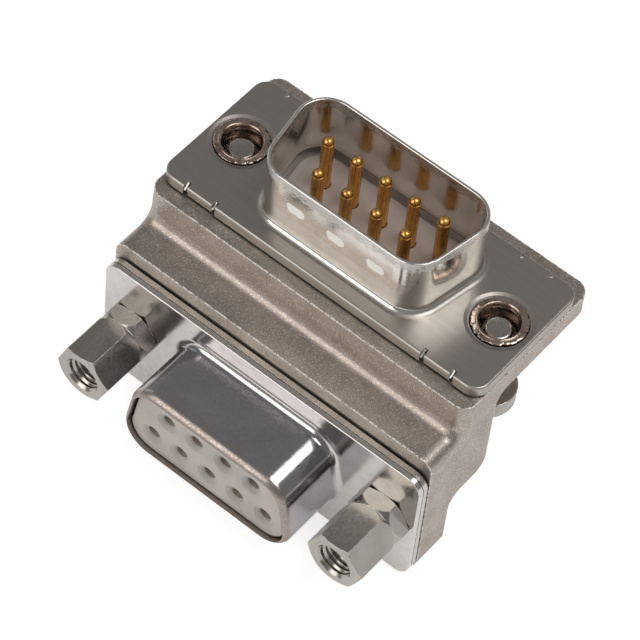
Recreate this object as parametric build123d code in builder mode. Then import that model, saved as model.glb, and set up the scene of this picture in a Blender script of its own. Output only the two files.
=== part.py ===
"""Right-angle adapter for a nine-way D-shaped connector: pins face up, sockets face the front.

Millimetres. The origin is the centre of the male flange's outer face, +Z is the way the male
mate leaves, -Y is the way the female mate leaves, and +X runs along both flanges.
"""
import os
from math import cos, radians, sqrt, tan

from build123d import *

# contact pattern
contact_pitch = 2.77
row_gap = 2.84
wide_row = 5
pin_radius = 0.5
pin_tip_height = 5.0
pin_tip_step = 0.03

# flanges and drawn D shells
row_end_room = 2.86
row_side_room = 2.73
screw_room = 4.095
flange_end = 2.91
flange_side = 2.1
flange_corner = 1.3
flange_edge_round = 0.18
sheet = 0.45
plate_gap = 0.08
seat_gap = 0.17
shell_slant = 10
shell_wall = 0.3
shell_bend = 0.6
rim_round = 0.12
male_corner = 2.3
male_shell_height = 5.9
mating_room_ends = 0.235
mating_room_sides = 0.2
female_corner = 2.6
female_shell_height = 6.1
female_nose_round = 0.75
female_lip = 0.12

# bent skirt of the male flange, its folded tabs and the sprung grounding dimples
skirt_depth = 1.0
skirt_wall = 0.35
tab_inset = 3.955
tab_width = 2.4
notch_width = 0.35
notch_reach = 0.65
tab_tuck = 0.12
dimple_count = 3
dimple_pitch = 3.8
dimple_width = 1.9
dimple_height = 1.0
dimple_corner = 0.45
dimple_level = 3.25
dimple_tilt = 13
dimple_skin = 0.05

# rear shells and insulators
dish_end_room = 1.1
dish_side_room = 1.05
dish_corner = 2.2
dish_depth = 2.6
insulator_gap = 0.05
front_insulator_depth = 1.45
dish_end_lip = 1.2
dish_side_lip = 0.9
body_corner = 1.2
body_depth = 4.9
moat_depth = 0.55
moat_reach = 0.7
moat_margin = 0.2
face_panel = 0.06
panel_margin = 0.85
nose_gap = 0.2
nose_height = 5.6
funnel_radius = 0.95
funnel_angle = 100
hole_clearance = 0.05

# contacts and the bent leads that join them
collar_radius = 0.7
collar_length = 0.5
tail_radius = 0.55
tail_depth = 7.0
cup_clearance = 0.04
cup_depth = 1.6
socket_radius = 0.8
socket_reach = 4.9
socket_bore_depth = 5.2
socket_clearance = 0.02
lead_radius = 0.3
lead_bend = 1.4

# housing
end_overhang = 0.015
land_front_room = 1.25
land_back_room = 1.5
land_top_room = 1.55
land_bottom_room = 0.25
shelf_level = 4.2
shelf_depth = 4.67
riser_lean = 0.3
male_collar = 2.05
female_collar = 3.27
ear_head_room = 1.2
ear_step = 0.3
ear_round = 1.3
shelf_fillet = 1.0
land_corner = 1.2
end_round = 1.2
bulge_head_room = 0.345
bulge_chamfer = 8.1
bulge_round = 0.7
housing_wall = 0.95
recess_gap = 0.12
back_wall = 1.6
cover_end_room = 1.45
cover_side_room = 1.13
cover_corner = 0.9
cover_thickness = 1.0
cover_ledge = 1.0
cover_gap = 0.05
mark_radius = 0.9
mark_depth = 0.12
mark_inset = 2.9

# eyelets, captive screws and hexagonal jackscrews
thread_radius = 1.42
eyelet_room = 0.23
eyelet_wall = 0.3
eyelet_roll = 0.68
eyelet_proud = 0.12
eyelet_seat_room = 0.37
eyelet_seat_slope = 0.28
eyelet_seat_depth = 0.09
eyelet_depth = 2.25
captive_tip_level = -0.8
captive_thread = 1.8
captive_tip_bevel = 0.4
captive_tip_chamfer = 0.3
captive_travel = 4.6
neck_relief = 0.35
neck_clearance = 0.08
head_radius = 2.3
head_height = 1.75
head_round = 0.25
slot_width = 0.8
slot_depth = 0.8
hex_flats = 4.5
hex_length = 5.95
hex_chamfer = 0.35
hex_turns = (7.0, 4.0)
groove_place = 1.5
groove_width = 1.1
jack_hole_depth = 4.6
jack_mouth = 0.25
stud_length = 4.2
stud_clearance = 0.02
stud_hole_clearance = 0.1

# how near an edge lies to the place it is picked by, and how far a cut runs past its wall
near = 0.01
overrun = 0.1

# sizes and places that follow from those above
narrow_row = wide_row - 1
male_inner_width = (wide_row - 1) * contact_pitch + 2 * row_end_room
male_inner_height = row_gap + 2 * row_side_room
female_outer_width = male_inner_width - 2 * mating_room_ends
female_outer_height = male_inner_height - 2 * mating_room_sides
screw_spacing = male_inner_width + 2 * screw_room
flange_length = screw_spacing + 2 * flange_end
flange_width = male_inner_height + 2 * flange_side
tab_centre = flange_length / 2 - tab_inset
dish_length = male_inner_width + 2 * dish_end_room
dish_width = male_inner_height + 2 * dish_side_room
body_length = dish_length - 2 * dish_end_lip
body_width = dish_width - 2 * dish_side_lip
cup_radius = lead_radius + cup_clearance
neck_radius = thread_radius - neck_relief
captive_tip_radius = thread_radius - captive_tip_bevel
eyelet_bore = thread_radius + eyelet_room
eyelet_rim = eyelet_bore + eyelet_roll
housing_length = flange_length + 2 * end_overhang
male_land_front = flange_width / 2 + land_front_room
male_land_back = flange_width / 2 + land_back_room
female_land_bottom = flange_width / 2 + land_bottom_room
axis_drop = shelf_level + land_top_room + flange_width / 2
female_reach = male_land_front + shelf_depth
ear_back = head_radius + ear_head_room
ear_bottom = axis_drop + ear_step
bulge_width = screw_spacing - 2 * (head_radius + bulge_head_room)
cover_length = bulge_width - 2 * cover_end_room
cover_width = bulge_chamfer * sqrt(2) - 2 * cover_side_room
mark_spacing = cover_length - 2 * mark_inset
land_depth = 2 * sheet + plate_gap + seat_gap
rear_plate_top = sheet + plate_gap
male_outer_width = male_inner_width + 2 * shell_wall
male_outer_height = male_inner_height + 2 * shell_wall
female_inner_width = female_outer_width - 2 * shell_wall
female_inner_height = female_outer_height - 2 * shell_wall
screw_places = {"left": -screw_spacing / 2, "right": screw_spacing / 2}
male_plane = Plane.XY
female_plane = Plane(origin=(0, -female_reach, -axis_drop), x_dir=(-1, 0, 0), z_dir=(0, -1, 0))
top_row = [((i - (wide_row - 1) / 2) * contact_pitch, row_gap / 2) for i in range(wide_row)]
low_row = [((i - (narrow_row - 1) / 2) * contact_pitch, -row_gap / 2) for i in range(narrow_row)]
contact_places = top_row + low_row

os.makedirs("parts", exist_ok=True)


def write_part(builder, name):
    builder.part.label = name
    export_step(builder.part, f"parts/{name}.step")


def d_outline(width, height, corner):
    """A rounded D with its wide side towards +Y; width and height are over the rounded outline."""
    slope = tan(radians(shell_slant))
    middle = width / 2 - (height / 2 - corner) * slope + corner * (1 / cos(radians(shell_slant)) - 1)
    wide = middle + height / 2 * slope
    narrow = middle - height / 2 * slope
    with BuildSketch(mode=Mode.PRIVATE) as outline:
        with BuildLine():
            Polyline(
                (-wide, height / 2),
                (wide, height / 2),
                (narrow, -height / 2),
                (-narrow, -height / 2),
                close=True,
            )
        make_face()
        fillet(outline.vertices(), corner)
    return outline.sketch


def axial_plane(plane, x, y):
    """Plane of a turned profile: its X is the radius and its Y the mating direction."""
    return Plane(origin=plane.from_local_coords((x, y, 0)), x_dir=plane.x_dir, z_dir=-plane.y_dir)


def turned_axis(plane, x, y):
    return Axis(plane.from_local_coords((x, y, 0)), plane.z_dir)


def around(value):
    """A narrow band about one coordinate, to pick what lies on a plane."""
    return value - near, value + near


def near_shell(edges, plane, level):
    """Edges of a D shell's root at one level, apart from the flange's own outline."""
    inside = []
    for edge in edges:
        place = plane.to_local_coords(edge.center())
        on_level = abs(place.Z - level) < near
        between_screws = abs(place.X) < screw_spacing / 2 - eyelet_rim
        within_skirt = abs(place.Y) < flange_width / 2 - skirt_wall - near
        if on_level and between_screws and within_skirt:
            inside.append(edge)
    return inside


# The male front shell: a flange pressed as a shallow tray, with the D shell drawn out of it
with BuildPart() as male_front_shell:
    with BuildSketch(male_plane):
        RectangleRounded(flange_length, flange_width, flange_corner)
    extrude(amount=-skirt_depth)
    fillet(male_front_shell.faces().sort_by(Axis.Z)[-1].edges(), flange_edge_round)
    with BuildSketch(male_plane.offset(-sheet)):
        RectangleRounded(
            flange_length - 2 * skirt_wall,
            flange_width - 2 * skirt_wall,
            flange_corner - skirt_wall,
        )
    extrude(amount=-(skirt_depth - sheet), mode=Mode.SUBTRACT)
    with BuildSketch(male_plane):
        add(d_outline(male_outer_width, male_outer_height, male_corner + shell_wall))
    extrude(amount=male_shell_height)
    fillet(near_shell(male_front_shell.edges(), male_plane, 0), shell_bend)
    with BuildSketch(male_plane.offset(-sheet)):
        add(d_outline(male_inner_width, male_inner_height, male_corner))
    extrude(amount=sheet + male_shell_height, mode=Mode.SUBTRACT)
    fillet(near_shell(male_front_shell.edges(), male_plane, -sheet), shell_bend + shell_wall)
    fillet(male_front_shell.faces().sort_by(Axis.Z)[-1].edges(), rim_round)

    # shallow dished seats for the two flared eyelets, countersunk at their middle
    seat_radius = eyelet_rim + eyelet_seat_room
    for x in screw_places.values():
        with Locations((x, 0, 0)):
            Cone(
                seat_radius - eyelet_seat_slope,
                seat_radius,
                eyelet_seat_depth,
                align=(Align.CENTER, Align.CENTER, Align.MAX),
                mode=Mode.SUBTRACT,
            )
            CounterSinkHole(eyelet_bore + eyelet_wall + insulator_gap, eyelet_rim + insulator_gap)

    # slots that free each folded tab from the skirt, and the tab's tuck under the plate's edge
    for x in (-tab_centre, tab_centre):
        for side in (-1, 1):
            edge = side * flange_width / 2
            for slot in (-1, 1):
                slot_x = x + slot * (tab_width + notch_width) / 2
                with Locations((slot_x, edge, -skirt_depth / 2)):
                    Box(notch_width, 2 * notch_reach, 2 * skirt_depth, mode=Mode.SUBTRACT)
            with Locations((x, edge, -skirt_depth)):
                Box(tab_width, 2 * tab_tuck, 2 * (skirt_depth - sheet), mode=Mode.SUBTRACT)

    # grounding dimples pressed inwards through the narrow front wall, deepest at their upper edge
    dimple_foot = (0, -male_outer_height / 2, dimple_level - dimple_height / 2)
    dimple_plane = Plane(
        origin=dimple_foot,
        x_dir=(1, 0, 0),
        z_dir=(0, -1, tan(radians(dimple_tilt))),
    )
    dimple_places = [
        ((i - (dimple_count - 1) / 2) * dimple_pitch, dimple_height / 2) for i in range(dimple_count)
    ]
    with BuildSketch(dimple_plane):
        with Locations(*dimple_places):
            RectangleRounded(dimple_width, dimple_height, dimple_corner)
    extrude(amount=dimple_skin - shell_wall)
    with BuildSketch(dimple_plane):
        with Locations(*dimple_places):
            RectangleRounded(
                dimple_width - 2 * dimple_skin,
                dimple_height - 2 * dimple_skin,
                dimple_corner - dimple_skin,
            )
    extrude(amount=shell_wall, mode=Mode.SUBTRACT)
write_part(male_front_shell, "male_front_shell")


# The female front shell: a flat flange with the D shell drawn out and its nose rolled in
with BuildPart() as female_front_shell:
    with BuildSketch(female_plane):
        RectangleRounded(flange_length, flange_width, flange_corner)
    extrude(amount=-sheet)
    fillet(female_front_shell.faces().sort_by(Axis.Y)[0].edges(), flange_edge_round / 2)
    with BuildSketch(female_plane):
        add(d_outline(female_outer_width, female_outer_height, female_corner))
    extrude(amount=female_shell_height)
    fillet(near_shell(female_front_shell.edges(), female_plane, 0), shell_bend)
    fillet(female_front_shell.faces().sort_by(Axis.Y)[0].edges(), female_nose_round)
    with BuildSketch(female_plane.offset(-sheet)):
        add(d_outline(female_inner_width, female_inner_height, female_corner - shell_wall))
    extrude(amount=sheet + female_shell_height - female_nose_round, mode=Mode.SUBTRACT)
    fillet(near_shell(female_front_shell.edges(), female_plane, -sheet), shell_bend + shell_wall)
    with BuildSketch(female_plane.offset(female_shell_height - female_nose_round)):
        add(
            d_outline(
                female_inner_width - 2 * female_lip,
                female_inner_height - 2 * female_lip,
                female_corner - shell_wall - female_lip,
            )
        )
    extrude(amount=female_nose_round, mode=Mode.SUBTRACT)
    with BuildSketch(female_plane):
        with Locations((-screw_spacing / 2, 0), (screw_spacing / 2, 0)):
            Circle(thread_radius + stud_hole_clearance)
    extrude(amount=-sheet, mode=Mode.SUBTRACT)
write_part(female_front_shell, "female_front_shell")


def make_rear_shell(plane, length, width, corner, hole_radius):
    """Rear plate with a pressed dish that clamps both insulators against the front shell."""
    dish_floor = dish_depth - sheet
    with BuildPart() as rear_shell:
        with BuildSketch(plane.offset(-rear_plate_top)):
            RectangleRounded(length, width, corner)
        extrude(amount=-sheet)
        with BuildSketch(plane.offset(-rear_plate_top)):
            RectangleRounded(
                dish_length + 2 * shell_wall,
                dish_width + 2 * shell_wall,
                dish_corner + shell_wall,
            )
        extrude(amount=rear_plate_top - dish_depth)
        with BuildSketch(plane.offset(-rear_plate_top)):
            RectangleRounded(dish_length, dish_width, dish_corner)
        extrude(amount=rear_plate_top - dish_floor, mode=Mode.SUBTRACT)
        with BuildSketch(plane.offset(-dish_floor)):
            RectangleRounded(
                body_length + 2 * insulator_gap,
                body_width + 2 * insulator_gap,
                body_corner + insulator_gap,
            )
        extrude(amount=-sheet, mode=Mode.SUBTRACT)
        with BuildSketch(plane.offset(-rear_plate_top)):
            with Locations((-screw_spacing / 2, 0), (screw_spacing / 2, 0)):
                Circle(hole_radius)
        extrude(amount=-sheet, mode=Mode.SUBTRACT)
    return rear_shell


tray_gap = skirt_wall + insulator_gap + tab_tuck
male_rear_shell = make_rear_shell(
    male_plane,
    flange_length - 2 * tray_gap,
    flange_width - 2 * tray_gap,
    flange_corner - skirt_wall,
    eyelet_bore + eyelet_wall + insulator_gap,
)
write_part(male_rear_shell, "male_rear_shell")
female_rear_shell = make_rear_shell(
    female_plane,
    flange_length,
    flange_width,
    flange_corner,
    thread_radius + stud_hole_clearance,
)
write_part(female_rear_shell, "female_rear_shell")


def insulator_slab():
    """Outline of the insulators' flanges, which the dish holds with a little room."""
    with BuildSketch(mode=Mode.PRIVATE) as slab:
        RectangleRounded(
            dish_length - 2 * insulator_gap,
            dish_width - 2 * insulator_gap,
            dish_corner - insulator_gap,
        )
    return slab.sketch


def male_face_outline(margin):
    """The pin shell's inner outline drawn in by a margin, or let out where the margin is negative."""
    return d_outline(male_inner_width - 2 * margin, male_inner_height - 2 * margin, male_corner - margin)


# The male front insulator: a slab with a moat under the shell's wall and a panel raised on its face
with BuildPart() as male_front_insulator:
    with BuildSketch(male_plane.offset(-front_insulator_depth)):
        add(insulator_slab())
    extrude(amount=front_insulator_depth - sheet - insulator_gap)
    with BuildSketch(male_plane.offset(-sheet - insulator_gap)):
        add(male_face_outline(-moat_reach))
        add(male_face_outline(panel_margin), mode=Mode.SUBTRACT)
    extrude(amount=-face_panel, mode=Mode.SUBTRACT)
    with BuildSketch(male_plane.offset(-sheet - insulator_gap)):
        add(male_face_outline(-moat_reach))
        add(male_face_outline(moat_margin), mode=Mode.SUBTRACT)
    extrude(amount=-moat_depth, mode=Mode.SUBTRACT)
    with BuildSketch(male_plane.offset(-front_insulator_depth)):
        with Locations(*contact_places):
            Circle(pin_radius + hole_clearance)
    extrude(amount=front_insulator_depth, mode=Mode.SUBTRACT)
write_part(male_front_insulator, "male_front_insulator")


# The female front insulator: the same slab with a D nose that fills the shell, and funnelled holes
with BuildPart() as female_front_insulator:
    with BuildSketch(female_plane.offset(-front_insulator_depth)):
        add(insulator_slab())
    extrude(amount=front_insulator_depth - sheet - insulator_gap)
    with BuildSketch(female_plane.offset(-sheet - insulator_gap)):
        nose_inset = female_lip + nose_gap
        add(
            d_outline(
                female_inner_width - 2 * nose_inset,
                female_inner_height - 2 * nose_inset,
                female_corner - shell_wall - nose_inset,
            )
        )
    extrude(amount=nose_height + sheet + insulator_gap)
    with BuildSketch(female_plane.offset(-front_insulator_depth)):
        with Locations(*contact_places):
            Circle(socket_radius + hole_clearance)
    extrude(amount=front_insulator_depth + socket_reach, mode=Mode.SUBTRACT)
    with BuildSketch(female_plane.offset(socket_reach)):
        with Locations(*contact_places):
            Circle(pin_radius + hole_clearance)
    extrude(amount=nose_height - socket_reach, mode=Mode.SUBTRACT)
    with Locations(female_plane.offset(nose_height)):
        with Locations(*contact_places):
            CounterSinkHole(
                pin_radius + hole_clearance,
                funnel_radius,
                depth=nose_height - socket_reach,
                counter_sink_angle=funnel_angle,
            )
write_part(female_front_insulator, "female_front_insulator")


def make_rear_insulator(plane):
    """Rear insulator: its flange lies in the dish, its body reaches back through the dish floor."""
    with BuildPart() as rear_insulator:
        with BuildSketch(plane.offset(-front_insulator_depth)):
            add(insulator_slab())
        extrude(amount=front_insulator_depth - dish_depth + sheet)
        with BuildSketch(plane.offset(-front_insulator_depth)):
            RectangleRounded(body_length, body_width, body_corner)
        extrude(amount=front_insulator_depth - body_depth)
        with BuildSketch(plane.offset(-front_insulator_depth)):
            with Locations(*contact_places):
                Circle(tail_radius + hole_clearance)
        extrude(amount=front_insulator_depth - body_depth, mode=Mode.SUBTRACT)
        with BuildSketch(plane.offset(-front_insulator_depth)):
            with Locations(*contact_places):
                Circle(collar_radius + hole_clearance)
        extrude(amount=-collar_length - insulator_gap, mode=Mode.SUBTRACT)
    return rear_insulator


write_part(make_rear_insulator(male_plane), "male_rear_insulator")
write_part(make_rear_insulator(female_plane), "female_rear_insulator")


def make_pin(x, y):
    """Turned pin: rounded tip, retaining collar between the insulators, solder cup at the tail."""
    tip_radius = pin_radius - pin_tip_step
    ball_level = pin_tip_height - tip_radius
    collar_top = -front_insulator_depth
    collar_low = collar_top - collar_length
    with BuildPart() as pin:
        with BuildSketch(axial_plane(male_plane, x, y)):
            with BuildLine():
                Polyline(
                    (0, pin_tip_height),
                    (0, cup_depth - tail_depth),
                    (cup_radius, cup_depth - tail_depth),
                    (cup_radius, -tail_depth),
                    (tail_radius, -tail_depth),
                    (tail_radius, collar_low),
                    (collar_radius, collar_low),
                    (collar_radius, collar_top),
                    (pin_radius, collar_top),
                    (pin_radius, ball_level),
                    (tip_radius, ball_level),
                )
                RadiusArc((tip_radius, ball_level), (0, pin_tip_height), -tip_radius)
            make_face()
        revolve(axis=turned_axis(male_plane, x, y))
    return pin


def make_socket(x, y):
    """Turned socket: a barrel bored for the mating pin, the same collar and solder cup behind it."""
    collar_top = -front_insulator_depth
    collar_low = collar_top - collar_length
    with BuildPart() as socket:
        with BuildSketch(axial_plane(female_plane, x, y)):
            with BuildLine():
                Polyline(
                    (0, socket_reach - socket_bore_depth),
                    (0, cup_depth - tail_depth),
                    (cup_radius, cup_depth - tail_depth),
                    (cup_radius, -tail_depth),
                    (tail_radius, -tail_depth),
                    (tail_radius, collar_low),
                    (collar_radius, collar_low),
                    (collar_radius, collar_top),
                    (socket_radius, collar_top),
                    (socket_radius, socket_reach),
                    (pin_radius + socket_clearance, socket_reach),
                    (pin_radius + socket_clearance, socket_reach - socket_bore_depth),
                    close=True,
                )
            make_face()
        revolve(axis=turned_axis(female_plane, x, y))
    return socket


def make_lead(x, y):
    """Round lead bent through a right angle, its ends standing on the floors of the two cups."""
    seat = tail_depth - cup_depth
    corner_z = -axis_drop - y
    with BuildPart() as lead:
        with BuildLine() as route:
            FilletPolyline(
                (x, y, -seat),
                (x, y, corner_z),
                (x, -female_reach + seat, corner_z),
                radius=lead_bend,
            )
        with BuildSketch(Plane(origin=(x, y, -seat), z_dir=(0, 0, -1))):
            Circle(lead_radius)
        sweep(path=route.wires()[0])
    return lead


for number, (x, y) in enumerate(contact_places, start=1):
    write_part(make_pin(x, y), f"pin_contact_{number}")
    write_part(make_socket(-x, y), f"socket_contact_{number}")
    write_part(make_lead(x, y), f"link_lead_{number}")


# The housing: one casting, an end profile with cut-back ears and a deeper middle behind them
land_z = -land_depth
land_y = -female_reach + land_depth
floor_z = -axis_drop - female_land_bottom
male_ear_z = land_z - male_collar
female_ear_y = land_y + female_collar
chamfer_top = (male_land_back, floor_z + bulge_chamfer)
chamfer_low = (male_land_back - bulge_chamfer, floor_z)
cover_plane = Plane(
    origin=(0, (chamfer_top[0] + chamfer_low[0]) / 2, (chamfer_top[1] + chamfer_low[1]) / 2),
    x_dir=(1, 0, 0),
    z_dir=(0, 1, -1),
)
recess_length = dish_length + 2 * shell_wall + 2 * recess_gap
recess_width = dish_width + 2 * shell_wall + 2 * recess_gap
recess_depth = dish_depth + recess_gap - land_depth


def cavity_outline():
    """Side profile of the room for both connectors' tails, one wall inside the outer profile."""
    front = -male_land_front + housing_wall
    roof = -shelf_level - housing_wall
    back = male_land_back - housing_wall
    base = floor_z + housing_wall
    slant = chamfer_top[0] - chamfer_top[1] - back_wall * sqrt(2)
    return (
        (front, land_z - recess_depth),
        (back, land_z - recess_depth),
        (back, back - slant),
        (slant + base, base),
        (land_y + recess_depth, base),
        (land_y + recess_depth, roof),
        (front, roof),
    )


with BuildPart() as housing:
    with BuildSketch(Plane.YZ) as end_profile:
        with BuildLine():
            Polyline(
                (-male_land_front, land_z),
                (male_land_back, land_z),
                (male_land_back, male_ear_z),
                (-ear_back, male_ear_z),
                (-ear_back, -ear_bottom),
                (female_ear_y, -ear_bottom),
                (female_ear_y, floor_z),
                (land_y, floor_z),
                (land_y, -shelf_level),
                (-male_land_front - riser_lean, -shelf_level),
                close=True,
            )
        make_face()
        ear_corners = end_profile.vertices().filter_by_position(Axis.X, *around(-ear_back))
        lower_ear = end_profile.vertices().filter_by_position(Axis.X, *around(female_ear_y))
        fillet(ear_corners + lower_ear.sort_by(Axis.Y)[-1:], ear_round)
    extrude(amount=housing_length / 2, both=True)

    # the step's concave corner, the soft ends of the riser and shelf, and both lands' far corners
    step_corner = housing.edges().filter_by(Axis.X).filter_by_position(Axis.Z, *around(-shelf_level))
    fillet(step_corner.sort_by(Axis.Y)[-1], shelf_fillet)
    for end in (-housing_length / 2, housing_length / 2):
        end_edges = housing.edges().filter_by_position(Axis.X, *around(end))
        outer_step = end_edges.filter_by_position(Axis.Y, land_y, -male_land_front, inclusive=(False, True))
        outer_step = outer_step.filter_by_position(Axis.Z, -shelf_level, land_z, inclusive=(True, False))
        fillet(outer_step, end_round)
    far_corners = housing.edges().filter_by(Axis.Z).filter_by_position(Axis.Y, *around(male_land_back))
    far_corners += housing.edges().filter_by(Axis.Y).filter_by_position(Axis.Z, *around(floor_z))
    fillet(far_corners, land_corner)

    # the deeper middle, with its chamfer towards the outside of the bend
    with BuildSketch(Plane.YZ) as middle_profile:
        with BuildLine():
            Polyline(
                (-male_land_front, land_z),
                (male_land_back, land_z),
                chamfer_top,
                chamfer_low,
                (land_y, floor_z),
                (land_y, -shelf_level - shelf_fillet),
                (-male_land_front - shelf_fillet, -shelf_level - shelf_fillet),
                (-male_land_front, -shelf_level),
                close=True,
            )
        make_face()
        chamfer_ends = middle_profile.vertices().filter_by_position(Axis.X, *around(chamfer_low[0]))
        chamfer_ends += middle_profile.vertices().filter_by_position(Axis.Y, *around(chamfer_top[1]))
        fillet(chamfer_ends, bulge_round)
    extrude(amount=bulge_width / 2, both=True)
    for side in (-bulge_width / 2, bulge_width / 2):
        side_edges = housing.edges().filter_by_position(Axis.X, *around(side))
        side_edges = side_edges.filter_by_position(Axis.Z, floor_z - near, male_ear_z - near)
        side_edges = side_edges.filter_by_position(Axis.Y, near - ear_back, male_land_back + near)
        fillet(side_edges, bulge_round)

    # recesses for both connectors' dishes, and the room behind them
    for plane in (male_plane, female_plane):
        with BuildSketch(plane.offset(-land_depth)):
            RectangleRounded(recess_length, recess_width, dish_corner + shell_wall + recess_gap)
        extrude(amount=-recess_depth, mode=Mode.SUBTRACT)
    with BuildSketch(Plane.YZ):
        with BuildLine():
            Polyline(*cavity_outline(), close=True)
        make_face()
    extrude(amount=bulge_width / 2 - housing_wall, both=True, mode=Mode.SUBTRACT)

    # the rear opening and the step that its cover lies in
    with BuildSketch(cover_plane):
        RectangleRounded(cover_length, cover_width, cover_corner)
    extrude(amount=-cover_thickness, mode=Mode.SUBTRACT)
    with BuildSketch(cover_plane):
        RectangleRounded(cover_length - 2 * cover_ledge, cover_width - 2 * cover_ledge, cover_corner)
    extrude(amount=-back_wall - overrun, mode=Mode.SUBTRACT)

    # stepped bores of the captive screws, and tapped holes for the jackscrews
    for x in screw_places.values():
        with BuildSketch(male_plane.offset(-land_depth)):
            with Locations((x, 0)):
                Circle(eyelet_bore + eyelet_wall + insulator_gap)
        extrude(amount=land_depth - eyelet_depth - insulator_gap, mode=Mode.SUBTRACT)
        with BuildSketch(male_plane.offset(-land_depth)):
            with Locations((x, 0)):
                Circle(eyelet_bore)
        extrude(amount=land_depth + captive_tip_level - captive_thread, mode=Mode.SUBTRACT)
        with BuildSketch(male_plane.offset(-land_depth)):
            with Locations((x, 0)):
                Circle(neck_radius + neck_clearance)
        extrude(amount=-male_collar, mode=Mode.SUBTRACT)
        with BuildSketch(female_plane.offset(-land_depth)):
            with Locations((x, 0)):
                Circle(thread_radius + stud_clearance)
        extrude(amount=land_depth - stud_length - stud_clearance, mode=Mode.SUBTRACT)
write_part(housing, "housing")


# The rear cover: a plate flush in the chamfer, with a spigot in the opening and two shallow dots
with BuildPart() as rear_cover:
    with BuildSketch(cover_plane):
        RectangleRounded(cover_length - 2 * cover_gap, cover_width - 2 * cover_gap, cover_corner - cover_gap)
    extrude(amount=-cover_thickness)
    with BuildSketch(cover_plane.offset(-cover_thickness)):
        spigot_inset = 2 * (cover_ledge + cover_gap)
        RectangleRounded(cover_length - spigot_inset, cover_width - spigot_inset, cover_corner - cover_gap)
    extrude(amount=cover_thickness - back_wall)
    with BuildSketch(cover_plane):
        with Locations((-mark_spacing / 2, 0), (mark_spacing / 2, 0)):
            Circle(mark_radius)
    extrude(amount=-mark_depth, mode=Mode.SUBTRACT)
write_part(rear_cover, "rear_cover")


def make_eyelet(x):
    """Tubular eyelet: a thin sleeve through the flange, its mouth rolled out over the seat."""
    outer = eyelet_bore + eyelet_wall
    flare_level = -eyelet_rim + outer
    roll = eyelet_rim - eyelet_bore
    with BuildPart() as eyelet:
        with BuildSketch(axial_plane(male_plane, x, 0)):
            with BuildLine():
                Polyline(
                    (eyelet_bore, eyelet_proud - roll),
                    (eyelet_bore, -eyelet_depth),
                    (outer, -eyelet_depth),
                    (outer, flare_level),
                    (eyelet_rim, 0),
                    (eyelet_rim, eyelet_proud),
                )
                RadiusArc((eyelet_rim, eyelet_proud), (eyelet_bore, eyelet_proud - roll), -roll)
            make_face()
        revolve(axis=turned_axis(male_plane, x, 0))
    return eyelet


def make_captive_screw(x):
    """Slotted cheese-head screw, undercut behind its short thread so that it can't fall out."""
    thread_low = captive_tip_level - captive_thread
    head_top = male_ear_z - captive_travel
    head_low = head_top - head_height
    with BuildPart() as screw:
        with BuildSketch(axial_plane(male_plane, x, 0)):
            with BuildLine():
                Polyline(
                    (0, captive_tip_level),
                    (captive_tip_radius, captive_tip_level),
                    (thread_radius, captive_tip_level - captive_tip_chamfer),
                    (thread_radius, thread_low),
                    (neck_radius, thread_low),
                    (neck_radius, head_top),
                    (head_radius, head_top),
                    (head_radius, head_low + head_round),
                    (head_radius - head_round, head_low),
                    (0, head_low),
                    close=True,
                )
            make_face()
        revolve(axis=turned_axis(male_plane, x, 0))
        with Locations((x, 0, head_low)):
            Box(slot_width, 2 * head_radius, 2 * slot_depth, mode=Mode.SUBTRACT)
    return screw


def make_jackscrew(x, turn):
    """Hexagonal pillar: turned ends and a V groove across its corners, tapped mouth, stud behind."""
    corner = hex_flats / 2 / cos(radians(30))
    flat = hex_flats / 2
    with BuildPart() as jackscrew:
        with BuildSketch(female_plane):
            with Locations((-x, 0)):
                RegularPolygon(flat, 6, major_radius=False, rotation=turn)
        extrude(amount=hex_length)
        with BuildSketch(axial_plane(female_plane, -x, 0)):
            with BuildLine():
                Polyline(
                    (0, 0),
                    (corner - hex_chamfer, 0),
                    (corner, hex_chamfer / 2),
                    (corner, groove_place - groove_width / 2),
                    (flat, groove_place),
                    (corner, groove_place + groove_width / 2),
                    (corner, hex_length - hex_chamfer / 2),
                    (corner - hex_chamfer, hex_length),
                    (0, hex_length),
                    close=True,
                )
            make_face()
        revolve(axis=turned_axis(female_plane, -x, 0), mode=Mode.INTERSECT)
        with BuildSketch(female_plane.offset(-stud_length)):
            with Locations((-x, 0)):
                Circle(thread_radius)
        extrude(amount=stud_length)
        with BuildSketch(axial_plane(female_plane, -x, 0)):
            with BuildLine():
                Polyline(
                    (0, hex_length - jack_hole_depth),
                    (thread_radius, hex_length - jack_hole_depth),
                    (thread_radius, hex_length - jack_mouth),
                    (thread_radius + jack_mouth, hex_length),
                    (0, hex_length),
                    close=True,
                )
            make_face()
        revolve(axis=turned_axis(female_plane, -x, 0), mode=Mode.SUBTRACT)
    return jackscrew


for (side, x), turn in zip(screw_places.items(), hex_turns):
    write_part(make_eyelet(x), f"eyelet_{side}")
    write_part(make_captive_screw(x), f"captive_screw_{side}")
    write_part(make_jackscrew(x, turn), f"jackscrew_{side}")
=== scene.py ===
import math

import bmesh
import bpy
from mathutils import Matrix, Quaternion, Vector, noise


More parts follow.
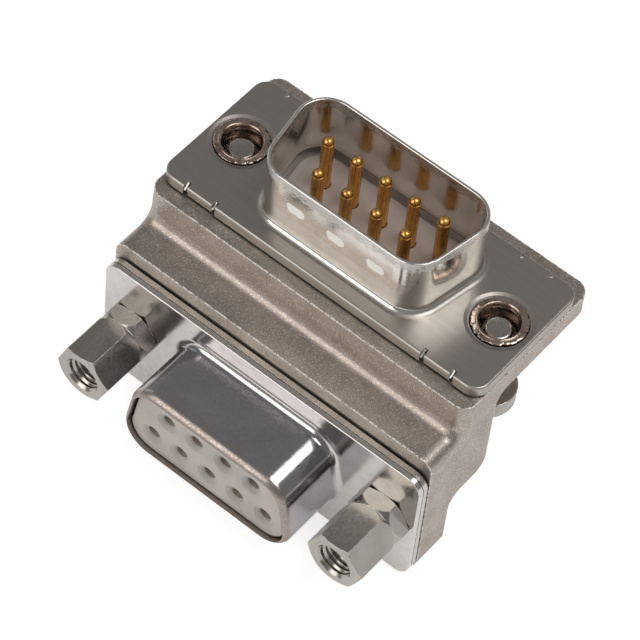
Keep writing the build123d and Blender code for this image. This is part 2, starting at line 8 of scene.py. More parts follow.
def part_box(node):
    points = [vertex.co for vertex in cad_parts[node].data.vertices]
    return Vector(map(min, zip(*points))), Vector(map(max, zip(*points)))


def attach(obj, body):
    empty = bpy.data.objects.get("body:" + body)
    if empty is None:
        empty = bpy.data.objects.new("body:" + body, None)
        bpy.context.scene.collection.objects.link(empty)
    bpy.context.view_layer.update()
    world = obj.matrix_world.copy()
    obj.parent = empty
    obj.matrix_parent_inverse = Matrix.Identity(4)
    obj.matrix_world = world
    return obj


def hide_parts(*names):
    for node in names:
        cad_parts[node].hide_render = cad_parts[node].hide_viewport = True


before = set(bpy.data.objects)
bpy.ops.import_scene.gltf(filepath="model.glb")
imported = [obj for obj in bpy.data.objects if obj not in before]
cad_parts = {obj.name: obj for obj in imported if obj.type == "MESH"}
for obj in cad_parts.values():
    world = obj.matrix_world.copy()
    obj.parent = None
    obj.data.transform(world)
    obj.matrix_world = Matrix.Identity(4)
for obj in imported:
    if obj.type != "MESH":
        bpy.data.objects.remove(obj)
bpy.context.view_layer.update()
mm = 0.001
print("frame loaded,", len(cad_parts), "nodes")


# small helpers for node trees

def startMaterial(name):
    material = bpy.data.materials.new(name)
    material.use_nodes = True
    tree = material.node_tree
    shader = tree.nodes["Principled BSDF"]
    return material, tree, shader


def addNode(tree, kind, settings=None, sockets=None):
    node = tree.nodes.new("ShaderNode" + kind)
    for name, value in (settings or {}).items():
        setattr(node, name, value)
    for name, value in (sockets or {}).items():
        node.inputs[name].default_value = value
    return node


def objectNoise(tree, scale, detail=3.0, stretch=(1, 1, 1)):
    place = addNode(tree, "TexCoord")
    turn = addNode(tree, "Mapping", sockets={"Scale": stretch})
    pattern = addNode(tree, "TexNoise", sockets={"Scale": scale, "Detail": detail})
    tree.links.new(place.outputs["Object"], turn.inputs["Vector"])
    tree.links.new(turn.outputs["Vector"], pattern.inputs["Vector"])
    return pattern.outputs["Fac"]


def objectLevel(tree, axis):
    # how far along one of the object's own axes, in metres
    place = addNode(tree, "TexCoord")
    split = addNode(tree, "SeparateXYZ")
    tree.links.new(place.outputs["Object"], split.inputs[0])
    return split.outputs["XYZ".index(axis)]


def remap(tree, source, fromLow, fromHigh, toLow, toHigh):
    node = addNode(tree, "MapRange")
    node.inputs["From Min"].default_value = fromLow
    node.inputs["From Max"].default_value = fromHigh
    node.inputs["To Min"].default_value = toLow
    node.inputs["To Max"].default_value = toHigh
    tree.links.new(source, node.inputs["Value"])
    return node.outputs["Result"]


def calculate(tree, operation, first, second):
    node = addNode(tree, "Math", {"operation": operation})
    for number, value in enumerate((first, second)):
        if isinstance(value, float):
            node.inputs[number].default_value = value
        else:
            tree.links.new(value, node.inputs[number])
    return node.outputs["Value"]


def mixColours(tree, factor, first, second):
    # a Mix node takes colours at its sockets 6 and 7, and gives one at its output 2
    node = addNode(tree, "Mix", {"data_type": "RGBA"})
    tree.links.new(factor, node.inputs[0])
    for number, value in ((6, first), (7, second)):
        if isinstance(value, tuple):
            node.inputs[number].default_value = (*value, 1)
        else:
            tree.links.new(value, node.inputs[number])
    return node.outputs[2]


def mixNumbers(tree, factor, first, second):
    # it takes numbers at its sockets 2 and 3, and gives one at its output 0
    node = addNode(tree, "Mix", {"data_type": "FLOAT"})
    tree.links.new(factor, node.inputs[0])
    tree.links.new(first, node.inputs[2])
    node.inputs[3].default_value = second
    return node.outputs[0]


# how many rays look for an edge near each point
edgeSamples = {"soft": 6, "wornAndLit": 8}


def softEdges(tree, reach):
    # edges that look rounded by a hair's breadth
    bevel = addNode(tree, "Bevel", {"samples": edgeSamples["soft"]}, {"Radius": reach})
    return bevel.outputs["Normal"]


def addBump(tree, height, distance, below):
    bump = addNode(tree, "Bump", sockets={"Strength": 1.0, "Distance": distance})
    tree.links.new(height, bump.inputs["Height"])
    tree.links.new(below, bump.inputs["Normal"])
    return bump.outputs["Normal"]


# how the noises and the edges turn into masks, on a scale from nought to one
maskSpans = {
    "blotch": (0.35, 0.65),
    "grain": (0.3, 0.7),
    "bandFleck": (0.38, 0.58),
    "paintedGlint": (0.58, 0.66),
    "edgeLean": (0.997, 0.93),
    "wearAndHighlightMiddle": 0.48,
}


def wearAndHighlightEdges(tree, reach, fleck, spread):
    # how far the rounded normal leans from the true one, broken up by flecks; it marks the edges
    # painted pale, partly as rubbed wear and partly as a painted edge highlight
    surface = addNode(tree, "NewGeometry")
    bevel = addNode(tree, "Bevel", {"samples": edgeSamples["wornAndLit"]}, {"Radius": reach})
    lean = addNode(tree, "VectorMath", {"operation": "DOT_PRODUCT"})
    tree.links.new(surface.outputs["Normal"], lean.inputs[0])
    tree.links.new(bevel.outputs["Normal"], lean.inputs[1])
    edge = remap(tree, lean.outputs["Value"], *maskSpans["edgeLean"], 0.0, 1.0)
    middle = maskSpans["wearAndHighlightMiddle"]
    patches = remap(tree, fleck, middle - spread, middle + spread, 0.0, 1.0)
    return calculate(tree, "MULTIPLY", edge, patches)


def bandMask(tree, band):
    # one between two levels of an axis, with soft ends broken up by flecks
    fleck = objectNoise(tree, band["fleckScale"], stretch=band.get("stretch", (1, 1, 1)))
    shift = remap(tree, fleck, *maskSpans["grain"], -band["ragged"], band["ragged"])
    level = calculate(tree, "ADD", objectLevel(tree, band["axis"]), shift)
    low = remap(tree, level, band["low"], band["low"] + band["soft"], 0.0, 1.0)
    high = remap(tree, level, band["high"] - band["soft"], band["high"], 1.0, 0.0)
    speck = remap(tree, fleck, *maskSpans["bandFleck"], band["least"], band["most"])
    return calculate(tree, "MULTIPLY", calculate(tree, "MULTIPLY", low, high), speck)


def slopeAlong(tree, axis, slope):
    # a height that grows along one axis, so walls beside that axis lean as a drawn cup's do
    return calculate(tree, "MULTIPLY", objectLevel(tree, axis), slope)


def addBands(tree, finish, colour, roughness):
    # rubbed, browned or brushed strips between two levels
    for band in finish.get("bands", ()):
        mask = bandMask(tree, band)
        colour = mixColours(tree, mask, colour, band["colour"])
        roughness = mixNumbers(tree, mask, roughness, band["roughness"])
    return colour, roughness


def addPaintedGlints(tree, finish, colour):
    # painted glints: small grains of the cast skin painted lighter than the rest, a painted
    # highlight
    grains = objectNoise(tree, finish["paintedGlintScale"], detail=1.0)
    paintedGlint = remap(tree, grains, *maskSpans["paintedGlint"], 0.0, finish["paintedGlintShare"])
    return mixColours(tree, paintedGlint, colour, finish["paintedGlintColour"])


def addWearAndHighlight(tree, finish, colour, shader):
    # pale, less metallic edges, partly where the plating has rubbed through and partly a painted
    # highlight along the edges
    fleck = objectNoise(tree, finish["wearAndHighlightScale"], detail=2.0)
    wornAndLit = wearAndHighlightEdges(tree, finish["wearAndHighlightReach"], fleck, finish["wearAndHighlightSpread"])
    bare = remap(tree, wornAndLit, 0.0, 1.0, 1.0, finish["wearAndHighlightMetal"])
    tree.links.new(bare, shader.inputs["Metallic"])
    return mixColours(tree, wornAndLit, colour, finish["wearAndHighlightColour"])


def platedMetal(name, finish):
    # a metal whose colour, gloss and relief all follow two noises, coarse blotches and fine grain
    material, tree, shader = startMaterial(name)
    stretch = finish.get("stretch", (1, 1, 1))
    blotch = objectNoise(tree, finish["blotchScale"])
    grain = objectNoise(tree, finish["grainScale"], detail=4.0, stretch=stretch)
    patches = remap(tree, blotch, *maskSpans["blotch"], 0.0, 1.0)
    specks = remap(tree, grain, *maskSpans["grain"], 0.0, 1.0)
    halfPatches = calculate(tree, "MULTIPLY", patches, 0.5)
    halfSpecks = calculate(tree, "MULTIPLY", specks, 0.5)
    blend = calculate(tree, "ADD", halfPatches, halfSpecks)
    colour = mixColours(tree, blend, finish["dull"], finish["bright"])
    roughness = remap(tree, specks, 0.0, 1.0, finish["smooth"], finish["rough"])
    normal = softEdges(tree, finish["edge"])
    if "draft" in finish:
        normal = addBump(tree, slopeAlong(tree, *finish["draft"]), 1.0, normal)
    normal = addBump(tree, blotch, finish["waves"], normal)
    normal = addBump(tree, grain, finish["relief"], normal)
    colour, roughness = addBands(tree, finish, colour, roughness)
    # painted glints, a painted highlight in the casting's colour
    if "paintedGlintColour" in finish:
        colour = addPaintedGlints(tree, finish, colour)
    shader.inputs["Metallic"].default_value = 1.0
    # edges painted pale: rubbed wear and a painted edge highlight
    if "wearAndHighlightColour" in finish:
        colour = addWearAndHighlight(tree, finish, colour, shader)
    tree.links.new(colour, shader.inputs["Base Color"])
    tree.links.new(roughness, shader.inputs["Roughness"])
    tree.links.new(normal, shader.inputs["Normal"])
    return material


# finishes, each in its own dictionary; scales are waves per metre
# waves, reliefs, edges, reaches and the levels of a band are metres

pinShellFinish = {
    "dull": (0.60, 0.58, 0.545),
    "bright": (0.78, 0.755, 0.715),
    "blotchScale": 450.0,
    "grainScale": 6000.0,
    "smooth": 0.09,
    "rough": 0.18,
    "waves": 0.000014,
    "relief": 0.0000012,
    "edge": 0.00005,
    "draft": ("Z", -0.05),
    "bands": (
        # the flange, brushed and rougher, and painted darker than the wall of the same sheet:
        # painted shade on its upward face
        {
            "axis": "Z",
            "low": -0.002,
            "high": 0.0002,
            "soft": 0.0001,
            "ragged": 0.0,
            "fleckScale": 2500.0,
            "stretch": (0.12, 1, 1),
            "least": 0.92,
            "most": 1.0,
            "colour": (0.395, 0.37, 0.345),
            "roughness": 0.36,
        },
        # the scuffed rim
        {
            "axis": "Z",
            "low": 0.0048,
            "high": 0.0062,
            "soft": 0.0005,
            "ragged": 0.00025,
            "fleckScale": 4500.0,
            "stretch": (0.4, 1, 1),
            "least": 0.2,
            "most": 0.9,
            "colour": (0.62, 0.62, 0.61),
            "roughness": 0.48,
        },
    ),
}
socketShellFinish = {
    # the sheet is painted dark and bluish: painted shade on the shell's upward faces
    "dull": (0.38, 0.375, 0.40),
    "bright": (0.46, 0.45, 0.475),
    "blotchScale": 350.0,
    "grainScale": 4000.0,
    "smooth": 0.10,
    "rough": 0.19,
    "waves": 0.000009,
    "relief": 0.0000003,
    "edge": 0.00005,
    "draft": ("Y", 0.05),
    "bands": (
        # the browned nose
        {
            "axis": "Y",
            "low": -0.0190,
            "high": -0.0175,
            "soft": 0.0003,
            "ragged": 0.0002,
            "fleckScale": 6000.0,
            "least": 0.45,
            "most": 1.0,
            "colour": (0.36, 0.30, 0.26),
            "roughness": 0.46,
        },
        # the flange, painted lighter than the rest of the same sheet: painted light on its
        # forward face
        {
            "axis": "Y",
            "low": -0.0124,
            "high": -0.0112,
            "soft": 0.0001,
            "ragged": 0.0,
            "fleckScale": 1500.0,
            "least": 0.8,
            "most": 1.0,
            "colour": (0.66, 0.64, 0.615),
            "roughness": 0.16,
        },
    ),
}
plateFinish = {
    "dull": (0.50, 0.485, 0.46),
    "bright": (0.68, 0.66, 0.63),
    "blotchScale": 500.0,
    "grainScale": 6000.0,
    "smooth": 0.20,
    "rough": 0.32,
    "waves": 0.000012,
    "relief": 0.000002,
    "edge": 0.00006,
}
castFinish = {
    "dull": (0.325, 0.28, 0.245),
    "bright": (0.48, 0.425, 0.38),
    "blotchScale": 500.0,
    "grainScale": 6500.0,
    "smooth": 0.35,
    "rough": 0.50,
    "waves": 0.00003,
    "relief": 0.000005,
    "edge": 0.0001,
    # painted glints: near-white flecks painted into the colour as a painted highlight
    "paintedGlintColour": (0.80, 0.78, 0.82),
    "paintedGlintScale": 9000.0,
    "paintedGlintShare": 0.6,
    # edges painted near-white: partly rubbed wear, partly a painted edge highlight
    "wearAndHighlightColour": (0.95, 0.93, 0.91),
    "wearAndHighlightReach": 0.00022,
    "wearAndHighlightScale": 6500.0,
    "wearAndHighlightSpread": 0.06,
    "wearAndHighlightMetal": 0.2,
}
screwFinish = {
    "dull": (0.36, 0.34, 0.315),
    "bright": (0.48, 0.455, 0.43),
    "blotchScale": 450.0,
    "grainScale": 4000.0,
    "smooth": 0.17,
    "rough": 0.25,
    "waves": 0.000003,
    "relief": 0.0000006,
    "edge": 0.00007,
    # edges painted pale: partly rubbed wear, partly a painted edge highlight
    "wearAndHighlightColour": (0.86, 0.83, 0.78),
    "wearAndHighlightReach": 0.00009,
    "wearAndHighlightScale": 2500.0,
    "wearAndHighlightSpread": 0.12,
    "wearAndHighlightMetal": 0.5,
}
eyeletFinish = {
    "dull": (0.22, 0.155, 0.125),
    "bright": (0.60, 0.50, 0.44),
    "blotchScale": 900.0,
    "grainScale": 5000.0,
    "smooth": 0.12,
    "rough": 0.26,
    "waves": 0.00002,
    "relief": 0.000006,
    "edge": 0.00004,
}
pinFinish = {
    "dull": (0.60, 0.30, 0.072),
    "bright": (0.88, 0.51, 0.16),
    "blotchScale": 900.0,
    "grainScale": 9000.0,
    "stretch": (1, 1, 0.12),
    "smooth": 0.21,
    "rough": 0.36,
    "waves": 0.000008,
    "relief": 0.000002,
    "edge": 0.00004,
}
leadFinish = {
    "dull": (0.55, 0.55, 0.56),
    "bright": (0.72, 0.72, 0.72),
    "blotchScale": 900.0,
    "grainScale": 6000.0,
    "smooth": 0.28,
    "rough": 0.42,
    "waves": 0.00001,
    "relief": 0.000003,
    "edge": 0.00004,
}
pinPlasticFinish = {
    "pale": (0.55, 0.49, 0.46),
    "deep": (0.47, 0.41, 0.38),
    "cloudScale": 350.0,
    "grainScale": 5000.0,
    "roughness": 0.42,
    "relief": 0.000004,
    "edge": 0.00005,
    "glowThrough": 0.2,
    "glowTint": (1.0, 0.8, 0.7),
    "glowDepth": 0.0005,
}
socketPlasticFinish = {
    "pale": (0.52, 0.48, 0.45),
    "deep": (0.44, 0.405, 0.38),
    "cloudScale": 350.0,
    "grainScale": 5000.0,
    "roughness": 0.45,
    "relief": 0.000003,
    "edge": 0.00008,
    "glowThrough": 0.5,
    "glowTint": (1.0, 0.8, 0.7),
    "glowDepth": 0.0007,
}


def insulatorPlastic(name, finish):
    # a moulded plastic, lightly clouded, that lets some light through
    material, tree, shader = startMaterial(name)
    cloud = objectNoise(tree, finish["cloudScale"], detail=4.0)
    grain = objectNoise(tree, finish["grainScale"])
    clouded = remap(tree, cloud, *maskSpans["blotch"], 0.0, 1.0)
    colour = mixColours(tree, clouded, finish["pale"], finish["deep"])
    normal = addBump(tree, grain, finish["relief"], softEdges(tree, finish["edge"]))
    tree.links.new(colour, shader.inputs["Base Color"])
    tree.links.new(normal, shader.inputs["Normal"])
    shader.inputs["Roughness"].default_value = finish["roughness"]
    shader.inputs["Subsurface Weight"].default_value = finish["glowThrough"]
    shader.inputs["Subsurface Radius"].default_value = finish["glowTint"]
    shader.inputs["Subsurface Scale"].default_value = finish["glowDepth"]
    return material


castNickel = platedMetal("castNickel", castFinish)
pinShellNickel = platedMetal("pinShellNickel", pinShellFinish)
socketShellNickel = platedMetal("socketShellNickel", socketShellFinish)
plateNickel = platedMetal("plateNickel", plateFinish)
screwNickel = platedMetal("screwNickel", screwFinish)
eyeletBrass = platedMetal("eyeletBrass", eyeletFinish)
pinGold = platedMetal("pinGold", pinFinish)
tinnedWire = platedMetal("tinnedWire", leadFinish)
pinPlastic = insulatorPlastic("pinPlastic", pinPlasticFinish)
socketPlastic = insulatorPlastic("socketPlastic", socketPlasticFinish)

# the first name that fits a node counts, so female comes before male
nodeFinishes = {
    "housing": castNickel,
    "rear_cover": castNickel,
    "female_front_shell": socketShellNickel,
    "male_front_shell": pinShellNickel,
    "rear_shell": plateNickel,
    "female_front_insulator": socketPlastic,
    "insulator": pinPlastic,
    "eyelet": eyeletBrass,
    "captive_screw": screwNickel,
    "jackscrew": screwNickel,
    "pin_contact": pinGold,
    "socket_contact": pinGold,
    "link_lead": tinnedWire,
}
for nodeName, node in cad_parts.items():
    for part, material in nodeFinishes.items():
        if part in nodeName:
            node.data.materials.clear()
            node.data.materials.append(material)
            break
print("finishes on the frame")


# turned pieces are spun about their own upright axis at the origin, then moved to their place
# the sizes of all new pieces are in mm

weldReach = 0.0005 * mm  # points closer than this become one
crispAngle = 35  # degrees between two faces past which their edge stays crisp


def spinProfile(profile, steps):
    # closed outline of (radius, height) points in mm, turned once round the Z axis
    shape = bmesh.new()
    ring = [shape.verts.new((radius * mm, 0, height * mm)) for radius, height in profile]
    edges = [shape.edges.new((ring[i - 1], ring[i])) for i in range(len(ring))]
    bmesh.ops.spin(
        shape,
        geom=ring + edges,
        cent=(0, 0, 0),
        axis=(0, 0, 1),
        dvec=(0, 0, 0),
        angle=math.tau,
        steps=steps,
        use_merge=True,
        use_duplicate=False,
    )
    bmesh.ops.remove_doubles(shape, verts=shape.verts, dist=weldReach)
    return shape


# the ridge of every thread: where its foot and crest lie across one pitch, and its ends
threadRidge = {
    "foot": (0.06, 0.94),
    "crest": (0.44, 0.56),
    "steps": 48,
    "runOut": 0.3,
    "leastShare": 0.04,
}


def addThread(shape, root, crest, low, high, pitch):
    # one helical ridge with a narrow flat crest, its section spun with a rise for each step
    ridge = threadRidge
    steps = ridge["steps"]
    turns = (high - low) / pitch - 1
    before = len(shape.verts)
    section = [
        (root, low + ridge["foot"][0] * pitch),
        (crest, low + ridge["crest"][0] * pitch),
        (crest, low + ridge["crest"][1] * pitch),
        (root, low + ridge["foot"][1] * pitch),
    ]
    corners = [shape.verts.new((radius * mm, 0, height * mm)) for radius, height in section]
    sides = [shape.edges.new((corners[i - 1], corners[i])) for i in range(len(corners))]
    spun = bmesh.ops.spin(
        shape,
        geom=corners + sides,
        cent=(0, 0, 0),
        axis=(0, 0, 1),
        dvec=(0, 0, pitch / steps * mm),
        angle=math.tau * turns,
        steps=round(turns * steps),
        use_merge=False,
        use_duplicate=False,
    )
    last = [part for part in spun["geom_last"] if isinstance(part, bmesh.types.BMVert)]
    shape.faces.new(corners)
    shape.faces.new(last)
    # it rises out of the wall and sinks back into it over part of a turn
    for vert in list(shape.verts)[before:]:
        reach = vert.co.xy.length / mm
        if abs(reach - crest) < abs(reach - root):
            turn = (vert.co.z / mm - low) / pitch - 0.5  # turns made by the ridge's middle
            share = min(1.0, turn / ridge["runOut"], (turns - turn) / ridge["runOut"])
            share = max(ridge["leastShare"], share)
            vert.co.xy *= (root + (crest - root) * share) / reach


def finishPiece(name, shape, material, body):
    bmesh.ops.recalc_face_normals(shape, faces=shape.faces)
    mesh = bpy.data.meshes.new(name)
    shape.to_mesh(mesh)
    shape.free()
    mesh.shade_smooth()
    mesh.set_sharp_from_angle(angle=math.radians(crispAngle))
    mesh.materials.append(material)
    piece = bpy.data.objects.new(name, mesh)
    bpy.context.collection.objects.link(piece)
    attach(piece, body)
    return piece


# the eyelets: a sleeve whose mouth is rolled out, with a nicked, ragged rim
eyeletShape = {
    "bore": 1.52,
    "wall": 0.40,
    "rim": 2.24,
    "lip": 1.76,
    "lipRise": 0.15,
    "lipRound": 0.06,
    "lipDrop": 0.02,
    "lipFoot": 0.10,
    "footRise": 0.03,
    "rimRise": 0.06,
    "rimFlat": 0.20,
    "flatRise": 0.02,
    "rimRound": 0.05,
    "rimDrop": 0.04,
    "underCut": 0.02,
    "funnel": 0.50,
    "rollDegrees": range(0, 91, 15),
    "depth": 2.25,
    "tearStart": 0.08,
    "tearDepth": 0.03,
    "nick": 0.22,
    "nickCount": 9.0,
    "nickPlace": {"left": 3.0, "right": 11.0},
    "nickDrop": 0.3,
    "fine": 0.045,
    "fineCount": 4,
    "finePlace": 5.0,
    "steps": 144,
}


def middleOf(nodeName):
    low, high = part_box(nodeName)
    return (low + high) / 2


def makeEyelet(side):
    e = eyeletShape
    outside = e["bore"] + e["wall"]
    roll = [
        (
            e["bore"] + (e["lip"] - e["bore"]) * (1 - math.cos(turn)),
            e["lipRise"] - e["funnel"] * (1 - math.sin(turn)),
        )
        for turn in [math.radians(degrees) for degrees in e["rollDegrees"]]
    ]
    # over the lip, along the rolled face and round its edge, then down the sleeve
    profile = roll + [
        (e["lip"] + e["lipRound"], e["lipRise"] - e["lipDrop"]),
        (e["lip"] + e["lipFoot"], e["rimRise"] + e["footRise"]),
        (e["rim"] - e["rimFlat"], e["rimRise"] + e["flatRise"]),
        (e["rim"] - e["rimRound"], e["rimRise"]),
        (e["rim"], e["rimRise"] - e["rimDrop"]),
        (e["rim"] - e["underCut"], -e["underCut"]),
        (outside, outside - e["rim"]),
        (outside, -e["depth"]),
        (e["bore"], -e["depth"]),
    ]
    shape = spinProfile(profile, e["steps"])
    # the rim is drawn in and down where the sleeve tore as it was rolled
    tearWidth = e["rim"] - e["lip"] - e["tearStart"]
    for vert in shape.verts:
        reach = vert.co.xy.length / mm
        share = max(0.0, min(1.0, (reach - e["lip"] - e["tearStart"]) / tearWidth))
        if share > 0 and vert.co.z > -e["tearDepth"] * mm:
            around = vert.co.xy.normalized() * e["nickCount"]
            torn = noise.noise(Vector((around.x, around.y, e["nickPlace"][side])))
            torn = max(0.0, torn) * e["nick"] * share
            finer = around * e["fineCount"]
            fine = noise.noise(Vector((finer.x, finer.y, e["finePlace"])))
            fine = fine * e["fine"] * share
            vert.co.xy *= 1 - (torn + fine) / reach
            vert.co.z -= torn * e["nickDrop"] * mm
    place = middleOf("eyelet_" + side)
    bmesh.ops.translate(shape, verts=shape.verts, vec=(place.x, place.y, 0))
    piece = finishPiece("rolledEyelet_" + side, shape, eyeletBrass, "adapter")
    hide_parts("eyelet_" + side)


# the captive screws: slotted head, thin neck and a short thread with a chamfered tip
screwShape = {
    "tip": 1.02,
    "tipFace": 0.86,
    "tipRing": 0.92,
    "tipDip": 0.02,
    "edgeBreak": 0.05,
    "core": 1.10,
    "thread": 1.42,
    "threadRoot": 1.07,
    "threadLength": 1.8,
    "threadStop": 0.12,
    "pitch": 0.635,
    "tipChamfer": 0.30,
    "neck": 1.07,
    "head": 2.3,
    "headHeight": 1.70,
    "headRound": 0.25,
    "headCorner": 0.3,
    "slotWidth": 0.8,
    "slotDepth": 0.8,
    "steps": 64,
}


def cutSlot(blank, level):
    # the screwdriver slot across the head, cut while the screw is still a plain turned blank
    s = screwShape
    cutter = bmesh.new()
    bmesh.ops.create_cube(cutter, size=1.0)
    # longer than the head is wide, and half of its height stays outside the head
    size = (s["slotWidth"] * mm, 3 * s["head"] * mm, 2 * s["slotDepth"] * mm)
    bmesh.ops.scale(cutter, verts=cutter.verts, vec=size)
    bmesh.ops.translate(cutter, verts=cutter.verts, vec=(0, 0, level * mm))
    bmesh.ops.recalc_face_normals(blank, faces=blank.faces)
    pieces = []
    for name, shape in (("turnedBlank", blank), ("slotCutter", cutter)):
        mesh = bpy.data.meshes.new(name)
        shape.to_mesh(mesh)
        shape.free()
        piece = bpy.data.objects.new(name, mesh)
        bpy.context.collection.objects.link(piece)
        pieces.append(piece)
    cut = pieces[0].modifiers.new("slot", "BOOLEAN")
    cut.object = pieces[1]
    cut.operation = "DIFFERENCE"
    cut.solver = "MANIFOLD"
    slotted = bmesh.new()
    slotted.from_mesh(pieces[0].evaluated_get(bpy.context.evaluated_depsgraph_get()).data)
    for piece in pieces:
        bpy.data.objects.remove(piece)
    return slotted


def makeCaptiveScrew(side):
    s = screwShape
    low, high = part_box("captive_screw_" + side)
    top = high.z / mm
    bottom = low.z / mm
    headTop = bottom + s["headHeight"]
    threadLow = top - s["threadLength"]
    corner = s["headCorner"] * s["headRound"]
    # from the tip's middle down the outside to the middle of the head
    profile = [
        (0, top - s["tipDip"]),
        (s["tipFace"], top - s["tipDip"]),
        (s["tipRing"], top),
        (s["tip"], top - s["edgeBreak"]),
        (s["core"], top - s["tipChamfer"]),
        (s["core"], threadLow),
        (s["neck"], threadLow - s["edgeBreak"]),
        (s["neck"], headTop),
        (s["head"] - s["edgeBreak"], headTop),
        (s["head"], headTop - s["edgeBreak"]),
        (s["head"], bottom + s["headRound"]),
        (s["head"] - corner, bottom + corner),
        (s["head"] - s["headRound"], bottom),
        (0, bottom),
    ]
    shape = cutSlot(spinProfile(profile, s["steps"]), bottom)
    threadTop = top - s["threadStop"]
    addThread(shape, s["threadRoot"], s["thread"], threadLow, threadTop, s["pitch"])
    place = middleOf("captive_screw_" + side)
    bmesh.ops.translate(shape, verts=shape.verts, vec=(place.x, place.y, 0))
    body = side + "_captive_screw"
    screw = finishPiece("slottedScrew_" + side, shape, screwNickel, body)
    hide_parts("captive_screw_" + side)


# the tapped mouths of the hexagonal pillars
tapping = {"wall": 1.44, "crest": 1.25, "pitch": 0.42, "start": 0.30, "end": 4.45}


def makeTapping(side):
    t = tapping
    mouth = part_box("jackscrew_" + side)[0].y
    shape = bmesh.new()
    addThread(shape, t["wall"], t["crest"], t["start"], t["end"], t["pitch"])
    # turned from Z to the pillar's own axis, the first turn at its mouth
    toPillar = Matrix.Rotation(-math.pi / 2, 3, "X")
    bmesh.ops.rotate(shape, verts=shape.verts, cent=(0, 0, 0), matrix=toPillar)
    place = middleOf("jackscrew_" + side)
    bmesh.ops.translate(shape, verts=shape.verts, vec=(place.x, mouth, place.z))
    finishPiece("tapping_" + side, shape, screwNickel, "adapter")


# the funnelled holes of the socket side, their mouths rounded over
funnel = {
    "mouth": 0.95,
    "bore": 0.53,
    "depth": 0.34,
    "round": 0.45,
    "seat": 0.05,
    "curveSteps": 10,
    "count": 9,
    "steps": 48,
}


def makeFunnelLip(number):
    f = funnel
    reach = f["mouth"] - f["bore"]
    curve = []
    for step in range(f["curveSteps"] + 1):
        share = step / f["curveSteps"]
        turn = share * math.pi / 2
        inwards = (1 - f["round"]) * share + f["round"] * math.sin(turn)
        down = (1 - f["round"]) * share + f["round"] * (1 - math.cos(turn))
        curve.append((f["mouth"] - reach * inwards, -f["depth"] * down))
    profile = curve + [
        (f["bore"], -f["depth"] - f["seat"]),
        (f["bore"] + 2 * f["seat"], -f["depth"] - f["seat"]),
        (f["mouth"] + 0.5 * f["seat"], -f["seat"]),
    ]
    shape = spinProfile(profile, f["steps"])
    # turned from Z to the way that the sockets face
    toFront = Matrix.Rotation(math.pi / 2, 3, "X")
    bmesh.ops.rotate(shape, verts=shape.verts, cent=(0, 0, 0), matrix=toFront)
    place = middleOf("socket_contact_" + str(number))
    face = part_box("female_front_insulator")[0].y
    bmesh.ops.translate(shape, verts=shape.verts, vec=(place.x, face, place.z))
    name = "funnelLip_" + str(number)
    finishPiece(name, shape, socketPlastic, "adapter")


# the torn slivers that the shears left in the notches beside each folded tab
sliver = {
    "fromMiddle": (-12.825, -10.075, 10.075, 12.825),
    "beside": -0.09,
    "reach": 5.93,
    "height": -0.29,
    "size": (0.20, 0.72, 0.09),
    "edge": 0.02,
    "slope": 41.0,
    "twist": (9.0, -5.0, 12.0, 4.0),
}


def makeSliver(number, front):
    s = sliver
    shape = bmesh.new()
    bmesh.ops.create_cube(shape, size=1.0)
    bmesh.ops.scale(shape, verts=shape.verts, vec=[edge * mm for edge in s["size"]])
    bmesh.ops.bevel(shape, geom=shape.edges, offset=s["edge"] * mm, segments=2, affect="EDGES")
    lean = Matrix.Rotation(math.radians(front * s["slope"]), 3, "X")
    twist = Matrix.Rotation(math.radians(s["twist"][number]), 3, "Y")
    bmesh.ops.rotate(shape, verts=shape.verts, cent=(0, 0, 0), matrix=lean @ twist)
    place = (s["fromMiddle"][number] + s["beside"], -front * s["reach"], s["height"])
    bmesh.ops.translate(shape, verts=shape.verts, vec=[part * mm for part in place])
    name = "notchSliver_" + ("front_" if front > 0 else "back_") + str(number + 1)
    finishPiece(name, shape, plateNickel, "adapter")


for side in ("left", "right"):
    makeEyelet(side)
    makeCaptiveScrew(side)
    makeTapping(side)
print("eyelets, screws and tappings made")
for number in range(1, funnel["count"] + 1):
    makeFunnelLip(number)
for number in range(len(sliver["fromMiddle"])):
    makeSliver(number, 1)
    makeSliver(number, -1)
print("funnel lips and notch slivers made")


# the stage: a pale floor under the casting, a grey surround and soft boxes

stageSetup = {
    "floorSize": 6.0,
    "floorColour": (0.9, 0.9, 0.9),
    "floorShade": 0.985,
    "floorShadeScale": 12.0,
    "floorRoughness": 0.8,
    "floorShine": 0.1,
    "floorGlow": 0.28,
    "floorGlowSeen": 0.62,
    "surround": 0.27,
    "surroundSeen": 1.12,
    "surroundColour": (1.0, 0.965, 0.93),
}


def seenLevel(tree, inMetal, behindPart):
    # one level for what the metal mirrors and another for the picture's own background
    path = addNode(tree, "LightPath")
    return remap(tree, path.outputs["Is Camera Ray"], 0.0, 1.0, inMetal, behindPart)


def makeFloor():
    shape = bmesh.new()
    bmesh.ops.create_grid(shape, x_segments=1, y_segments=1, size=stageSetup["floorSize"] / 2)
    bmesh.ops.translate(shape, verts=shape.verts, vec=(0, 0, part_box("housing")[0].z))
    mesh = bpy.data.meshes.new("floor")
    shape.to_mesh(mesh)
    shape.free()
    floor = bpy.data.objects.new("floor", mesh)
    bpy.context.collection.objects.link(floor)
    material, tree, shader = startMaterial("paleFloor")
    shade = objectNoise(tree, stageSetup["floorShadeScale"], detail=2.0)
    pale = stageSetup["floorColour"]
    shaded = tuple(stageSetup["floorShade"] * value for value in pale)
    colour = mixColours(tree, shade, pale, shaded)
    tree.links.new(colour, shader.inputs["Base Color"])
    shader.inputs["Roughness"].default_value = stageSetup["floorRoughness"]
    shader.inputs["Specular IOR Level"].default_value = stageSetup["floorShine"]
    shader.inputs["Emission Color"].default_value = (1, 1, 1, 1)
    glow = seenLevel(tree, stageSetup["floorGlow"], stageSetup["floorGlowSeen"])
    tree.links.new(glow, shader.inputs["Emission Strength"])
    mesh.materials.append(material)


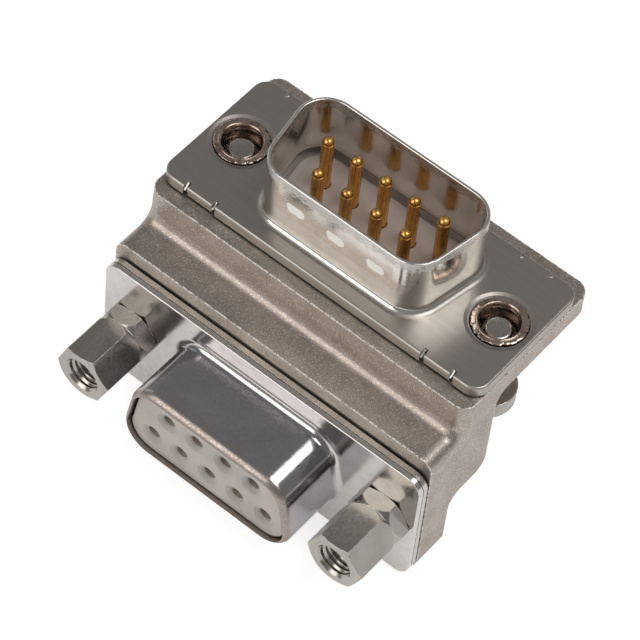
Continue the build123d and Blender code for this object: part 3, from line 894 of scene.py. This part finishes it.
softBoxes = {
    "keyBox": {
        "towards": (-0.33, -0.74, 0.585),
        "away": 0.60,
        "size": (0.40, 0.44),
        "glow": 2.3,
        "colour": (1.0, 0.965, 0.91),
    },
    "fillBox": {
        "towards": (0.42, 0.15, 0.89),
        "away": 0.60,
        "size": (0.34, 0.34),
        "glow": 4.0,
        "colour": (1.0, 0.98, 0.96),
    },
    "sideBox": {
        "towards": (-0.92, 0.10, 0.38),
        "away": 0.70,
        "size": (0.30, 0.40),
        "glow": 0.5,
        "colour": (1.0, 1.0, 1.0),
    },
}


def makeSoftBox(name, box):
    light = bpy.data.lights.new(name, "AREA")
    light.shape = "RECTANGLE"
    light.size, light.size_y = box["size"]
    light.energy = box["glow"] * math.pi * light.size * light.size_y  # the same glow at any size
    light.color = box["colour"]
    lamp = bpy.data.objects.new(name, light)
    way = Vector(box["towards"]).normalized()
    lamp.location = way * box["away"]
    lamp.rotation_mode = "QUATERNION"
    lamp.rotation_quaternion = way.to_track_quat("Z", "Y")
    lamp.visible_camera = False
    bpy.context.collection.objects.link(lamp)


makeFloor()
for boxName, box in softBoxes.items():
    makeSoftBox(boxName, box)

# the surround is grey in the metal and pale behind the part
world = bpy.data.worlds.new("surround")
bpy.context.scene.world = world
world.use_nodes = True
worldTree = world.node_tree
background = worldTree.nodes["Background"]
surroundLevel = seenLevel(worldTree, stageSetup["surround"], stageSetup["surroundSeen"])
worldTree.links.new(surroundLevel, background.inputs["Strength"])
background.inputs["Color"].default_value = (*stageSetup["surroundColour"], 1)
bpy.context.scene.view_settings.view_transform = "Standard"
print("floor and lights set")


# the camera stands where the photograph was taken from
cameraSetup = {
    "lens": 194.1,
    "sensor": 36.0,
    "sees": (0.01, 20.0),
    "place": (85.70, -132.06, 205.79),
    "looks": (-0.3275, 0.4852, -0.8107),
    "roll": 6.777,
}


def makeCamera():
    camera = bpy.data.cameras.new("camera")
    camera.lens = cameraSetup["lens"]
    camera.sensor_width = cameraSetup["sensor"]
    camera.clip_start, camera.clip_end = cameraSetup["sees"]
    holder = bpy.data.objects.new("camera", camera)
    holder.location = Vector(cameraSetup["place"]) * mm
    aim = Vector(cameraSetup["looks"]).to_track_quat("-Z", "Y")
    holder.rotation_mode = "QUATERNION"
    holder.rotation_quaternion = aim @ Quaternion((0, 0, 1), math.radians(cameraSetup["roll"]))
    bpy.context.collection.objects.link(holder)
    bpy.context.scene.camera = holder


makeCamera()
print("camera set")
